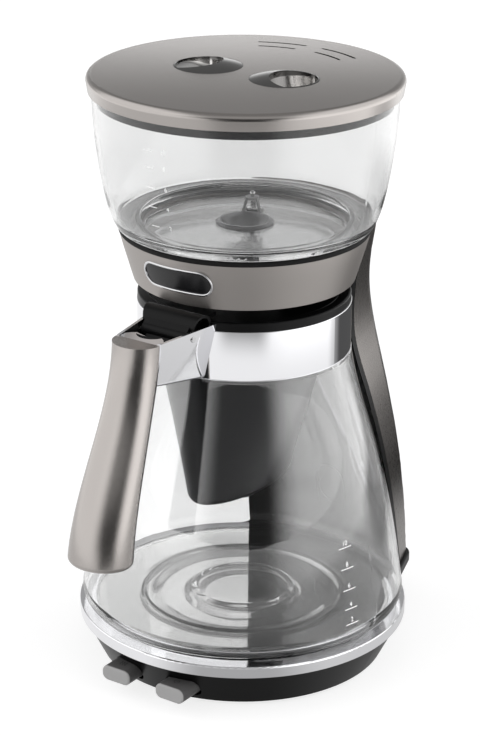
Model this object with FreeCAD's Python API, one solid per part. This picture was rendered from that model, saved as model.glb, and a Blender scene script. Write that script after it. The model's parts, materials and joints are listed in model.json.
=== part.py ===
"""Drip coffee maker with a glass tank, a glass jug and a filter holder in the jug's neck.

Millimetres, +Z up, front towards -Y. Everything is built about the jug's upright axis and moved
at the end, so that the origin is under the middle of the whole machine, on the table.
"""
import FreeCAD
import Part
import math
import os

V = FreeCAD.Vector
UP = V(0, 0, 1)
RIGHT = V(1, 0, 0)
BACK = V(0, 1, 0)

# ---- clearances -------------------------------------------------------------------------------
rest_gap = 0.3          # between a lifted or sliding piece and what it rests on
slide_gap = 0.6         # round a piece that lifts out of another
pin_gap = 0.05          # radial running fit of pins and plungers
panel_gap = 0.3         # seam between two covers

# ---- base -------------------------------------------------------------------------------------
foot_height = 3.0
foot_radius = 8.0
foot_inset = 15.5       # from the skirt's foot to the middle of a rubber foot
ring_radius = 102.5
ring_width = 9.5
ring_bottom = 25.8
ring_top = 33.0
ring_wall = 1.8
housing_wall = 2.5
ring_step = 1.7         # the ring stands this far out over the skirt
skirt_draft = 11.3      # how much the skirt draws in towards the floor
hotplate_thickness = 1.6
hotplate_groove_radius = 62.0
heater_circle = 55.0
heater_width = 16.0
heater_height = 12.0
cover_thickness = 2.2

# ---- lobe behind the base, and the shoe on it that carries the column ----------------------------
shoe_bottom = 24.0
shoe_top = 30.0
shoe_rim = 1.8          # how far the shoe stands out beyond the column
lobe_foot = (32.0, 115.0)     # half width and rear at the floor, hidden behind the skirt
lobe_head = (37.0, 126.5)     # and under the shoe
lobe_screws = (26.0, 2.5)     # sideways, and in front of the ring's rear

# ---- column -----------------------------------------------------------------------------------
column_half_angle = 32.3      # of its front edges, seen from the jug's axis
column_closing = 19.0   # its sides close by this angle towards the rear at the foot, and not at all
column_square = 280.0   # at this height
column_wall = 2.4
panel_thickness = 4.0
column_gap = 7.6        # between the jug and the column's front
column_corner = 10.0
column_back = [(ring_radius + 27.0, 30), (ring_radius + 26.7, 50), (ring_radius + 21.8, 97),
               (ring_radius + 13.5, 142), (ring_radius + 6.5, 174), (ring_radius - 1.7, 206),
               (ring_radius - 7.9, 230), (ring_radius - 11.3, 262)]
column_top = 272.0
column_shoulder = 6.0
column_neck_radius = 71.6
relief_half = 11.6      # raised arch round a dimple, low on the cover behind the jug
relief_foot = 55.5
relief_height = 29.5
relief_line = 1.6
relief_rise = 0.8

# ---- jug --------------------------------------------------------------------------------------
jug_wall = 2.4
jug_foot_radius = 93.0
jug_side = [(100.0, 45), (97.9, 60), (93.7, 85.5), (88.5, 111), (81.9, 136), (74.4, 161), (65.2, 199)]
jug_neck_radius = 63.4
jug_mouth = 232.0
jug_floor_rings = (62.0, 30.0)
jug_floor_step = 1.6
band_radius = 65.0
band_bottom = 200.5
rim_top = 237.0
rim_bore = 58.6
spout_reach = 4.6
spout_half_angle = 13.0

# ---- handle and its bracket ---------------------------------------------------------------------
# height, distance in front of the jug's axis, half width, half depth
handle_stations = [(235.0, 107.4, 15.4, 13.6), (200.0, 116.0, 15.2, 13.2), (166.0, 128.8, 17.4, 14.9),
                   (133.0, 140.3, 19.6, 16.7), (110.0, 144.8, 20.4, 17.4)]
handle_wall = 2.2
handle_seam = 5.5       # the steel shell ends this far behind the handle's middle
handle_foot_round = 3.0
bracket_wall = 1.8
dish_radius = 22.0      # the chrome behind the grip's top is scooped out
dish_depth = 2.2
bracket_top = 235.4
bracket_front_bottom = 207.5
bracket_half = 15.2     # half width at the grip, along the top edge
bracket_spread = 0.153  # the cheeks spread this much per millimetre towards the band
bracket_lean = 0.198    # and lean in this much per millimetre towards their foot
bracket_round = 3.0
hinge_y = -79.0
hinge_z = 231.0
hinge_pin_radius = 1.75
hinge_half = 15.6
hood_radius = 7.5
hood_wall = 1.5
hood_pocket = 5.0       # depth of the open ends of the hood
pad_half = 11.6         # thumb pad in front of the hinge
hood_y = -71.0
hood_z = 236.0

# ---- filter holder and drip stop ----------------------------------------------------------------
filter_mouth_radius = 58.0
filter_mouth = 226.0
filter_floor = 110.0
filter_floor_half_width = 20.0
filter_floor_half_length = 46.5
filter_keel_round = 6.5
filter_offset = -3.5    # the holder hangs a little towards the handle
filter_wall = 2.0
filter_flange = 1.6
holder_ledge = jug_mouth + 1.2     # the holder hangs on the jug's rim here
outlet_radius = 4.5
outlet_boss_radius = 7.6
outlet_boss_drop = 8.0
drip_travel = 2.5
drip_spring_top = filter_floor - 0.05
drip_arm_width = 7.0
drip_arm_height = 3.6
drip_arm_low = 0.6
drip_arm_length = 38.0

# ---- collar -----------------------------------------------------------------------------------
collar_side = [(67.0, 245.9), (69.1, 253), (71.0, 259.5), (73.2, 267), (75.3, 275)]
collar_wall = 2.2
gasket_thickness = 3.0
deck_top = 266.0
deck_thickness = 1.8
pan_thickness = 2.2
shower_radius = 24.0
shower_bottom = 243.4

# ---- tank -------------------------------------------------------------------------------------
tank_wall = 2.6
tank_side = [(80.3, 286), (83.9, 299), (87.2, 317.5), (89.6, 338), (90.8, 363)]
tank_foot_radius = 76.6
tank_sole = 5.1         # depth of the ledge inside above the tank's foot
tank_well_radius = 62.6
tank_well_floor = 276.0
tank_floor_thickness = 3.2
sump_radius = 16.2
sump_flange = 17.6
sump_rim = 280.2
sump_bottom = 269.5
valve_x = -9.0
valve_y = 21.0
nozzle_radius = 5.0
nozzle_bore = 3.2
nozzle_bottom = 262.0
post_top = 261.2
stem_radius = 1.2
stem_top = 291.0
seal_radius = 3.6
seal_top = 279.4
guide_top = 286.2
guide_leg = 1.1
guide_head_radius = 4.1
guide_foot_radius = 6.8

# ---- lid --------------------------------------------------------------------------------------
lid_radius = 93.8
lid_rise = 7.0          # its top above the tank's rim
lid_depth = 10.0
lid_sheet = 1.5
lid_round = 3.4
liner_thickness = 2.0
grip_radius = 20.5
grip_offset = 27.0
grip_depth = 14.0
hood_rise = 3.2
pocket_radius = 16.5
pocket_shift = 9.0
slot_width = 1.8
slot_circles = ((63.0, 7.0, 27.0), (73.0, 5.0, 28.0))   # radius, first and last angle from the back

# ---- buttons ----------------------------------------------------------------------------------
button_centres = (-20.0, 20.0)
button_proud = 17.0     # how far the buttons' fronts stand out before the skirt's foot
button_width = 20.5
button_height = 9.6
button_corner = 4.2
button_z = 13.0
button_back = 74.0
button_travel = 1.8
button_gap = 0.5

# ---- screws and gland -------------------------------------------------------------------------
screw_radius = 1.5
screw_head = 1.6
screw_length = 10.0
screw_inset = 11.5      # from the skirt's foot to a screw
gland_radius = 6.0
gland_z = 18.0
gland_y = 113.5
gland_length = 11.0

# ---- tubes ------------------------------------------------------------------------------------
tube_radius = 3.6
tube_bore = 2.2
tube_spread = 14.0      # each tube runs this far to the side of the column's middle
tube_low = 16.5
tube_high = 257.8       # between the shower and the deck


# ---- what follows from these ---------------------------------------------------------------------
ring_inner_radius = ring_radius - ring_width
housing_top_radius = ring_radius - ring_step
housing_foot_radius = housing_top_radius - skirt_draft
foot_circle = housing_foot_radius - foot_inset
screw_circle = housing_foot_radius - screw_inset
lid_top = tank_side[-1][1] + lid_rise
lid_skirt_bottom = lid_top - lid_depth
heater_bottom = ring_top - 1.2 - hotplate_thickness - heater_height
button_front = housing_foot_radius + button_proud
jug_bottom = ring_top + rest_gap
pan_top = collar_side[0][1] + pan_thickness
shower_inlet = V(12.0, 12.0, pan_top + 4)
seat_radius = nozzle_radius + 3.2
tank_bottom = collar_side[-1][1] + gasket_thickness + rest_gap
tank_ledge = tank_bottom + tank_sole
floor_at_valve = sump_rim - 2.6


# ---- drawing helpers --------------------------------------------------------------------------
def at(r, z):
    return V(r, 0, z)


def smooth(points):
    curve = Part.BSplineCurve()
    curve.interpolate([at(*p) for p in points])
    return curve


def outline(start, *steps):
    """Closed wire in the XZ plane. A step is a point to run straight to, a pair of points for an
    arc through the first to the second, or a list of points for a smooth curve."""
    edges = []
    here = start
    for step in list(steps) + [start]:
        if isinstance(step, list):
            edges.append(smooth([here] + step).toShape())
            here = step[-1]
        elif isinstance(step[0], tuple):
            edges.append(Part.Arc(at(*here), at(*step[0]), at(*step[1])).toShape())
            here = step[1]
        elif step != here:
            edges.append(Part.LineSegment(at(*here), at(*step)).toShape())
            here = step
    return Part.Wire(edges)


def upright(shape):
    """The same solid with its faces pointing outwards."""
    if shape.Volume < 0:
        shape.reverse()
    return shape


def turned(start, *steps, angle=360):
    """Solid of revolution about the jug's axis."""
    return upright(Part.Face(outline(start, *steps)).revolve(V(), UP, angle))


def inset(points, wall):
    """A smooth curve's points moved sideways towards the axis."""
    curve = smooth(points)
    moved = []
    for r, z in points:
        along = curve.tangent(curve.parameter(at(r, z)))[0]
        side = V(-along.z, 0, along.x)
        if side.x > 0:
            side = side * -1
        moved.append((r + wall * side.x, z + wall * side.z))
    return moved


def radius_at(points, z):
    """Radius of a smooth side at one height."""
    hit = smooth(points).toShape().section(Part.makePlane(1000, 1000, V(-500, -500, z), UP))
    return hit.Vertexes[0].Point.x


def plate(width, length, height, x, y, z):
    """Box centred on x and y, standing on z."""
    return Part.makeBox(width, length, height, V(x - width / 2, y - length / 2, z))


def disc(radius, height, x, y, z):
    return Part.makeCylinder(radius, height, V(x, y, z))


def tube(outer, inner, height, x, y, z):
    return disc(outer, height, x, y, z).cut(disc(inner, height + 2, x, y, z - 1))


def together(*shapes):
    whole = shapes[0]
    for shape in shapes[1:]:
        whole = whole.fuse(shape)
    return whole.removeSplitter()


def sector(half_angle, inset_by=0.0, reach=200.0, bottom=0.0, height=400.0):
    """Upright wedge behind the axis, its sides moved inwards by inset_by."""
    half = math.radians(half_angle)
    tip = inset_by / math.sin(half)
    side = reach * math.sin(half)
    far = tip + reach * math.cos(half)
    corners = [V(0, tip, bottom), V(side, far, bottom), V(-side, far, bottom), V(0, tip, bottom)]
    return Part.Face(Part.makePolygon(corners)).extrude(UP * height)


def rear_corners(shape):
    """The two long edges that run up the shape's rear."""
    tall = [e for e in shape.Edges if e.BoundBox.ZLength > 0.7 * shape.BoundBox.ZLength]
    return sorted(tall, key=lambda e: e.BoundBox.YMax)[-2:]


def mirrored(shape):
    return shape.mirror(V(), RIGHT)


def pipe(points, bends, outer, inner):
    """Tube along straight runs joined by tangent arcs."""
    edges = []
    here = points[0]
    for corner, after, bend in zip(points[1:-1], points[2:], bends):
        into = (corner - here).normalize()
        out = (after - corner).normalize()
        half_turn = into.getAngle(out) / 2
        reach = bend * math.tan(half_turn)
        start = corner - into * reach
        end = corner + out * reach
        towards = (out - into).normalize()
        middle = corner + towards * (bend / math.cos(half_turn) - bend)
        edges.append(Part.LineSegment(here, start).toShape())
        edges.append(Part.Arc(start, middle, end).toShape())
        here = end
    edges.append(Part.LineSegment(here, points[-1]).toShape())
    path = Part.Wire(edges)
    direction = (points[1] - points[0]).normalize()
    solids = []
    for radius in (outer, inner):
        ring = Part.Wire(Part.makeCircle(radius, points[0], direction))
        solids.append(path.makePipeShell([ring], True, False))
    return upright(solids[0]).cut(upright(solids[1]))


# ---- base -------------------------------------------------------------------------------------
def housing_radius(z):
    """The black skirt widens evenly from the feet to the ring."""
    share = (z - foot_height) / (ring_bottom - foot_height)
    return housing_foot_radius + share * (housing_top_radius - housing_foot_radius)


def lobe_block(wall=0.0, top=shoe_bottom):
    """Solid lobe behind the skirt, drawn in towards the floor."""
    rings = []
    for z, (half, rear) in ((foot_height, lobe_foot), (shoe_bottom, lobe_head)):
        side = half - wall
        back = rear - wall
        corners = [V(-side, 0, z), V(side, 0, z), V(side, back, z), V(-side, back, z)]
        rings.append(Part.makePolygon(corners + corners[:1]))
    block = upright(Part.makeLoft(rings, True, True))
    block = block.makeFillet(column_corner - wall, rear_corners(block))
    return block.common(plate(400, 400, top - foot_height, 0, 0, foot_height))


def shoe():
    """Thin foot under the column, a little larger all round, its upper edge rounded."""
    rear = column_back[0][0] + shoe_rim
    front = ring_radius - ring_step - 0.5
    height = shoe_top - shoe_bottom
    block = Part.Face(wedge_plan(shoe_top, -shoe_rim)).extrude(UP * height).translated(V(0, 0, -height))
    block = block.common(disc(rear, height, 0, 0, shoe_bottom))
    block = block.makeFillet(column_corner + shoe_rim, rear_corners(block))
    rim = [e for e in block.Edges if e.BoundBox.ZMin > shoe_top - 0.01 and e.BoundBox.YMax > front]
    return block.makeFillet(shoe_rim - 0.3, rim).cut(disc(front, 100, 0, 0, 0))


def base_housing():
    skirt = turned((0, foot_height), (housing_foot_radius, foot_height), (housing_top_radius, ring_bottom),
                   (0, ring_bottom))
    inner_top = ring_bottom - housing_wall
    hollow = turned((0, foot_height - 1), (housing_radius(foot_height - 1) - housing_wall, foot_height - 1),
                    (housing_radius(inner_top) - housing_wall, inner_top), (0, inner_top))
    foot = shoe().cut(disc(ring_radius + panel_gap, 100, 0, 0, ring_bottom))
    room = lobe_block(housing_wall, inner_top)
    body = together(skirt, lobe_block(), foot).cut(hollow).cut(room)
    body = body.cut(disc(heater_circle + heater_width, 20, 0, 0, inner_top - 5))
    half, rear = lobe_head
    mouth = plate(2 * (half - housing_wall), 60, 20, 0, rear - housing_wall - 30, inner_top - 1)
    mouth = mouth.makeFillet(column_corner - housing_wall, rear_corners(mouth))
    body = body.cut(mouth.cut(disc(column_front[0][0] + panel_thickness / 2 + 0.2, 400, 0, 0, 0)))
    low_mouth = lobe_block(housing_wall, foot_height + housing_wall + 1)
    body = body.cut(low_mouth.translated(V(0, 0, -2)))
    boss_bottom = foot_height + cover_thickness + panel_gap
    for x, y in screw_places():
        boss = tube(3.6, screw_radius, inner_top + 0.5 - boss_bottom, x, y, boss_bottom)
        body = body.fuse(boss)
    for x in button_centres:
        body = body.cut(button_bar(x, button_gap, button_travel, depth=60))
    return body.cut(Part.makeCylinder(gland_radius, 40, V(0, gland_y - 5, gland_z), BACK))


def base_cover():
    """Bottom plate let into the skirt and the lobe, with vents and holes for its screws."""
    plan = disc(housing_foot_radius - housing_wall - panel_gap, cover_thickness, 0, 0, foot_height)
    lobe = lobe_block(housing_wall + panel_gap, foot_height + cover_thickness)
    cover = together(plan, lobe)
    for k in range(-3, 4):
        cover = cover.cut(plate(3, 34, 10, k * 8, 0, 0))
    for x, y in screw_places():
        cover = cover.cut(disc(screw_radius + 0.2, 20, x, y, 0))
    return cover


def foot_places():
    return [(foot_circle * math.sin(a), foot_circle * math.cos(a)) for a in
            [math.radians(45 + 90 * k) for k in range(4)]]


def screw_places():
    """Three screws round the disc and two in the lobe."""
    ring = [(screw_circle * math.sin(a), screw_circle * math.cos(a)) for a in
            [math.radians(60 + 120 * k) for k in range(3)]]
    x, inset_by = lobe_screws
    y = ring_radius - inset_by
    return ring + [(-x, y), (x, y)]


def screw(x, y, z, length, direction=UP):
    """Pan-head screw whose head starts at the point and whose shank follows direction."""
    head = Part.makeCylinder(screw_radius * 1.9, screw_head, V(x, y, z), direction)
    shank = Part.makeCylinder(screw_radius, length, V(x, y, z), direction)
    return head.fuse(shank)


def feet():
    pads = []
    for x, y in foot_places():
        pad = disc(foot_radius, foot_height, x, y, 0)
        low_edge = [e for e in pad.Edges if e.BoundBox.ZMax < 0.1]
        pads.append(pad.makeFillet(1.0, low_edge))
    return Part.makeCompound(pads)


def base_trim_ring():
    edge = ring_radius - 0.7
    low_inner = ring_radius - ring_wall
    return turned((low_inner, ring_bottom), (ring_radius, ring_bottom), (ring_radius, ring_top - 1.2),
                  ((ring_radius - 0.15, ring_top - 0.5), (edge, ring_top - 0.1)),
                  (ring_inner_radius, ring_top), (ring_inner_radius, ring_bottom + 0.3),
                  (ring_inner_radius + ring_wall, ring_bottom + 0.3),
                  (ring_inner_radius + ring_wall, ring_top - ring_wall), (low_inner, ring_top - ring_wall))


def hotplate():
    """Pressed disc with a rolled rim and two shallow rings."""
    rim = ring_inner_radius - panel_gap
    groove = hotplate_groove_radius
    t = hotplate_thickness
    top = ring_top
    return turned((0, top - 0.8), (groove - 30, top - 0.8), (groove - 28, top - 1.2), (groove - 3, top - 1.2),
                  (groove, top), (rim, top), (rim, ring_bottom), (rim - t, ring_bottom),
                  (rim - t, top - t), (groove + 1, top - t), (groove - 2, top - 1.2 - t), (0, top - 0.8 - t))


def heater_block():
    """Horseshoe of extruded aluminium: heating element above, water tube below."""
    half = heater_width / 2
    low = heater_bottom
    high = low + heater_height
    c = heater_circle
    face = Part.Face(outline((c - half, low + 2), ((c - half + 0.6, low + 0.6), (c - half + 2, low)),
                             (c + half - 2, low), ((c + half - 0.6, low + 0.6), (c + half, low + 2)),
                             (c + half, high), (c - half, high)))
    face.rotate(V(), UP, 90 + 32)
    shoe = upright(face.revolve(V(), UP, 296))
    water = Part.Face(Part.Wire(Part.makeCircle(tube_bore, V(c, 0, low + 4), BACK)))
    water.rotate(V(), UP, 90 + 32)
    return shoe.cut(upright(water.revolve(V(), UP, 296)))


def heater_end(side):
    """Where the water tube leaves the horseshoe's end on one side."""
    angle = math.radians(90 - 32 * side)
    return V(heater_circle * math.cos(angle), heater_circle * math.sin(angle), heater_bottom + 4)


def thermostat():
    x, y = heater_circle, 0
    body = disc(8.0, 6.0, x, y, heater_bottom - 6.0)
    flange = plate(9, 24, 1.0, x, y, heater_bottom - 1.0)
    blades = [plate(0.8, 6.3, 5.0, x, y + k * 5, heater_bottom - 11.0) for k in (-1, 1)]
    return together(body, flange, *blades)


def thermal_fuse():
    start = V(-heater_circle, -12, heater_bottom - 3.0)
    wire = Part.makeCylinder(0.6, 40, start - BACK * 8, BACK)
    return together(Part.makeCylinder(3.0, 24, start, BACK), wire)


# ---- buttons ----------------------------------------------------------------------------------
def rounded_bar(width, height, corner, x, z, y_from, y_to):
    """Bar along Y with a rounded rectangular section centred on x and z."""
    bar = Part.makeBox(width, y_to - y_from, height, V(x - width / 2, y_from, z - height / 2))
    return bar.makeFillet(corner, [e for e in bar.Edges if e.BoundBox.YLength > y_to - y_from - 0.01])


def button_bar(x, gap=0.0, travel=0.0, depth=0.0):
    """A button's outline, grown by gap and lengthened downwards by its travel."""
    width = button_width + 2 * gap
    height = button_height + 2 * gap + travel
    back = -button_back + depth
    return rounded_bar(width, height, button_corner + gap, x, button_z - travel / 2,
                       -button_front - depth / 10, back)


def button(x):
    bar = button_bar(x)
    front = [e for e in bar.Edges if e.BoundBox.YMax < -button_front + 0.01]
    key = bar.makeFillet(1.2, front)
    hollow = Part.makeBox(button_width - 4, 30, button_height - 3,
                          V(x - button_width / 2 + 2, -button_front + 14, button_z - button_height / 2 - 1.5))
    post = disc(2.0, button_height - 4.2, x, -button_back - 5, button_z - button_height / 2)
    flange = plate(button_width + 6, 2.0, button_height, x, -button_back - 1.0, button_z - button_height / 2)
    return together(key.cut(hollow), flange, post)


def button_spring(x):
    """Bent leaf that pushes the button up again."""
    low = foot_height + cover_thickness
    top = button_z - button_height / 2 - 0.1
    y = -button_back - 5
    t = 0.5
    corners = [V(0, y + 13, low), V(0, y + 7, low), V(0, y - 1, top - t), V(0, y - 4, top - t),
               V(0, y - 4, top), V(0, y - 0.6, top), V(0, y + 7.4, low + t), V(0, y + 13, low + t)]
    leaf = Part.Face(Part.makePolygon(corners + corners[:1])).extrude(RIGHT * 7)
    return leaf.translated(V(x - 3.5, 0, 0))


def switch_board():
    board = plate(76, 22, 1.6, 0, -button_back + 18, foot_height + cover_thickness + 3)
    posts = [disc(2.5, 3.0, k * 30, -button_back + 18, foot_height + cover_thickness) for k in (-1, 1)]
    return together(board, *posts)


def micro_switch(x):
    low = foot_height + cover_thickness + 4.6
    body = plate(13, 13, 6.5, x, -button_back + 16, low)
    lever = plate(4, 12, 0.6, x, -button_back + 6.2, low + 5.0)
    return together(body, lever)


# ---- column -----------------------------------------------------------------------------------
def column_front_points():
    """The column's front keeps an even gap to the jug, and stands clear of its spout above."""
    low = [(ring_radius + column_gap, shoe_top)]
    side = [(r + column_gap, z) for r, z in jug_side[:-1]]
    neck = [(column_neck_radius + 0.6, 196), (column_neck_radius, 216), (column_neck_radius, 246)]
    return low + side + neck


column_front = column_front_points()


def wedge_plan(z, inset_by=0.0):
    """Outline at one height of the room between the column's sides."""
    half = math.radians(column_half_angle)
    r = radius_at(column_front, min(max(z, shoe_top + 0.01), column_front[-1][1] - 0.01))
    closing = math.radians(column_closing * (column_square - z) / (column_square - shoe_top))
    corners = []
    for side, y in ((-1, 30), (1, 30), (1, 160), (-1, 160)):
        x = r * math.sin(half) - math.tan(closing) * (y - r * math.cos(half)) - inset_by / math.cos(closing)
        corners.append(V(side * x, y, z))
    return Part.makePolygon(corners + corners[:1])


def column_wedge(inset_by=0.0):
    """The room between the column's sides, which close towards the rear, most at the foot."""
    heights = (shoe_bottom - 4, 45, 75, 105, 135, 165, 195, 225, column_square + 20)
    return upright(Part.makeLoft([wedge_plan(z, inset_by) for z in heights], True, False))


def column_outline(wall=0.0, front=0.0):
    """The region between the column's front and back, its walls drawn in by wall."""
    back = inset(column_back, wall)
    back[0] = (column_back[0][0] - wall, shoe_top)
    facing = [(r + front, z) for r, z in column_front]
    top = column_top - wall
    high_r, high_z = back[-1]
    inner = column_neck_radius + front
    return turned(facing[0], facing[1:], (inner, top), (high_r - 0.4, top), (high_r, high_z), back[-2::-1])


def column_block(wall=0.0, front=0.0):
    block = column_outline(wall, front).common(column_wedge(wall))
    block = block.makeFillet(column_corner - wall, rear_corners(block))
    shoulder = [e for e in block.Edges if e.BoundBox.ZMin > column_top - wall - 0.1 and
                e.BoundBox.YMax - e.BoundBox.YMin > 0.5 and e.BoundBox.YMax > column_neck_radius + front + 2]
    return block.makeFillet(column_shoulder - wall, shoulder)


def collar_body():
    """Everything inside the collar's outer surface."""
    return turned((0, collar_side[0][1]), collar_side[0], collar_side[1:], (0, collar_side[-1][1]))


def column_shell():
    """Satin shell, open towards the jug, closed at its top round the collar."""
    outside = column_block().cut(column_outline().common(panel_region(panel_thickness)))
    hollow = column_block(column_wall)
    shell = outside.cut(hollow.fuse(hollow.translated(V(0, 0, -6))))
    return shell.cut(collar_body())


def panel_region(thickness):
    """Everything within thickness of the column's front, up to the collar."""
    facing = [(r + thickness, z) for r, z in column_front]
    return turned((0, shoe_top), facing[0], facing[1:], (0, facing[-1][1]))


def column_front_panel():
    """Black cover behind the jug, clipped into the open side of the shell."""
    front = column_outline().common(panel_region(panel_thickness - panel_gap))
    cover = front.common(column_wedge())
    hollow = panel_region(panel_thickness).cut(panel_region(panel_thickness / 2))
    cover = cover.cut(hollow.common(column_wedge(column_wall)))
    ridge = arch(relief_half).cut(arch(relief_half - relief_line))
    ridge = ridge.common(column_outline(0, -relief_rise)).common(panel_region(panel_thickness / 2))
    dimple = Part.makeCylinder(relief_half - relief_line - 1.0, 150, V(0, 0, relief_foot + relief_half), BACK)
    cover = cover.cut(dimple.common(panel_region(relief_rise)))
    return cover.fuse(ridge).removeSplitter()


def arch(half):
    """Upright prism with a round top, standing where the relief on the column's cover is."""
    base = plate(2 * half, 150, relief_height - relief_half, 0, 75, relief_foot)
    return base.fuse(Part.makeCylinder(half, 150, V(0, 0, relief_foot + relief_height - relief_half), BACK))


def cord_gland():
    """Bush at the foot of the lobe where a mains lead enters."""
    start = V(0, gland_y, gland_z)
    body = Part.makeCylinder(gland_radius, gland_length, start, BACK)
    flange = Part.makeCylinder(gland_radius + 1.5, 2.0, start, BACK)
    nose = Part.makeCone(gland_radius, gland_radius - 1.2, 2, start + BACK * gland_length, BACK)
    bore = Part.makeCylinder(3.4, 40, start - BACK * 5, BACK)
    return together(body, flange, nose).cut(bore)


# ---- water path -------------------------------------------------------------------------------
def column_middle(z):
    """Middle of the room between the front cover and the shell's back."""
    return (radius_at(column_front, z) + panel_thickness + radius_at(column_back, z) - column_wall) / 2


def water_tube(side, ends):
    """Tube from a heater end, under the housing's roof, up inside the column and over to its end."""
    start = heater_end(side)
    away = V(-side * math.cos(math.radians(32)), math.sin(math.radians(32)), 0)
    x = tube_spread * side

    def rising(z, r):
        return V(x, math.sqrt(r * r - x * x), z)
    foot = column_middle(50)
    points = [start, start + away * 9, V(x, start.y + 24, tube_low), rising(tube_low, foot), rising(50, foot),
              rising(150, column_middle(150)), rising(205, column_middle(205)),
              rising(tube_high, column_middle(225) - 1.0)] + ends
    return pipe(points, [6, 12, 13, 60, 60, 60, 9, 5], tube_radius, tube_bore)


def feed_tube():
    return water_tube(-1, [V(valve_x, valve_y + seat_radius, tube_high)])


def riser_tube():
    over_inlet = V(shower_inlet.x, shower_inlet.y, tube_high)
    return water_tube(1, [over_inlet, shower_inlet])


def check_valve():
    """Non-return valve clamped round the feed tube in the base."""
    start = V(-tube_spread, heater_end(-1).y + 31, tube_low)
    body = Part.makeCylinder(5.4, 10, start, BACK)
    collars = [Part.makeCylinder(4.6, 3, start + BACK * d, BACK) for d in (-3, 10)]
    return together(body, *collars).cut(Part.makeCylinder(tube_radius, 30, start - BACK * 8, BACK))


# ---- collar -----------------------------------------------------------------------------------
def collar_shell():
    low_r, low_z = collar_side[0]
    top_r, top_z = collar_side[-1]
    inner = inset(collar_side, collar_wall)
    seat_inner = tank_well_radius + tank_floor_thickness + 2.5
    ring = turned((low_r - collar_wall, low_z), (low_r, low_z), collar_side[1:], (seat_inner, top_z),
                  (seat_inner, top_z - collar_wall), (inner[-1][0] - 0.2, top_z - collar_wall),
                  inner[-2:0:-1],
                  (low_r - collar_wall, low_z + 0.5))
    mouth = Part.makeBox(50, 60, 2 * tube_radius + 3, V(-25, 40, tube_high - tube_radius - 1.5))
    return ring.cut(mouth)


def collar_pan():
    """Black underside of the collar, with an upstand round the shower."""
    r = collar_side[0][0] - collar_wall
    low = collar_side[0][1] + 0.2
    hole = shower_radius + 0.3
    pan = turned((hole, low), (r, low), (r, pan_top), (hole + 2, pan_top), (hole + 2, pan_top + 4),
                 (hole, pan_top + 4))
    return pan


def shower_head():
    """Shallow cup under the collar that rains the hot water over the filter."""
    low = shower_bottom
    high = pan_top + 4
    r = shower_radius
    cup = turned((0, low), (r - 3, low), ((r - 0.9, low + 0.9), (r, low + 3)), (r, high), (r - 2, high),
                 (r - 2, low + 3), ((r - 2.6, low + 2.2), (r - 4, low + 1.8)), (0, low + 1.8))
    for count, circle in ((1, 0), (6, 8), (12, 16)):
        for k in range(count):
            a = 2 * math.pi * k / count
            cup = cup.cut(disc(1.0, 10, circle * math.cos(a), circle * math.sin(a), low - 1))
    cover = turned((0, high), (r, high), (r, high + 1.6), (0, high + 1.6))
    inlet = disc(tube_radius, 20, shower_inlet.x, shower_inlet.y, high)
    return cup.fuse(cover.cut(inlet)).removeSplitter()


def collar_deck():
    """Silver plate under the glass tank; it carries the tank's water seat."""
    r = radius_at(collar_side, deck_top) - collar_wall - panel_gap
    low = deck_top - deck_thickness
    r_low = radius_at(collar_side, low) - collar_wall - panel_gap
    deck = turned((0, low), (r_low, low), (r, deck_top), (0, deck_top))
    deck = deck.cut(disc(seat_radius + 0.1, 10, valve_x, valve_y, low - 2))
    legs = [disc(2.5, low - pan_top, 46 * math.cos(a), 46 * math.sin(a), pan_top) for a in
            (math.radians(30), math.radians(150), math.radians(270))]
    return together(deck, *legs)


def valve_seat():
    """Bush that takes the tank's nozzle; a post in it lifts the valve's stem."""
    low = nozzle_bottom - 6
    bush = disc(seat_radius, deck_top - low, valve_x, valve_y, low)
    bush = bush.cut(disc(nozzle_radius + 0.35, 40, valve_x, valve_y, nozzle_bottom - rest_gap - 0.5))
    bush = bush.cut(Part.makeCylinder(tube_bore, 20, V(valve_x, valve_y, tube_high), BACK))
    bush = bush.cut(disc(tube_bore + 1, 3.5, valve_x, valve_y, tube_high))
    post = disc(stem_radius, post_top - low - 1, valve_x, valve_y, low + 1)
    flange = tube(seat_radius + 2, seat_radius - 0.5, 1.2, valve_x, valve_y, deck_top - deck_thickness - 1.2)
    return together(bush, flange, post)


def tank_gasket():
    top_r, top_z = collar_side[-1]
    inner = tank_well_radius + tank_floor_thickness + 3
    high = top_z + gasket_thickness
    bulge = (top_r + 0.5, top_z + gasket_thickness / 2)
    return turned((inner, top_z), (top_r, top_z), (bulge, (top_r, high)), (inner, high))


# ---- tank -------------------------------------------------------------------------------------
def water_tank():
    """Blown glass bowl with a thick shoulder, a round well in its floor and an outlet nozzle."""
    low = tank_bottom
    foot = tank_foot_radius
    t = tank_floor_thickness
    well = tank_well_radius
    inner = inset(tank_side, tank_wall)
    rim_r, rim_z = tank_side[-1]
    centre = sump_radius - 0.6
    well_low = tank_well_floor - t
    bowl = turned((well + t, low), (foot - 1.5, low), ((foot - 0.3, low + 0.4), (foot + 0.8, low + 1.6)),
                  tank_side, ((rim_r - tank_wall / 2, rim_z + tank_wall / 3), (rim_r - tank_wall, rim_z)),
                  inner[-2::-1], ((inner[0][0] - 2.0, tank_ledge + 0.6), (inner[0][0] - 4.5, tank_ledge)),
                  (well + 1.5, tank_ledge), ((well + 0.4, tank_ledge - 0.4), (well, tank_ledge - 1.5)),
                  (well - 0.6, tank_well_floor + 2),
                  ((well - 1.2, tank_well_floor + 0.6), (well - 2.6, tank_well_floor)),
                  (centre, sump_rim - 2.6), (centre, sump_rim - 2.6 - t), (well - 2.6, well_low),
                  ((well + t - 1.6, well_low + 0.9), (well + t - 0.4, well_low + 3)))
    nozzle = disc(nozzle_radius, tank_well_floor - nozzle_bottom, valve_x, valve_y, nozzle_bottom)
    bowl = bowl.fuse(nozzle).cut(disc(nozzle_bore, 60, valve_x, valve_y, nozzle_bottom - 1))
    return bowl.removeSplitter()


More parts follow.
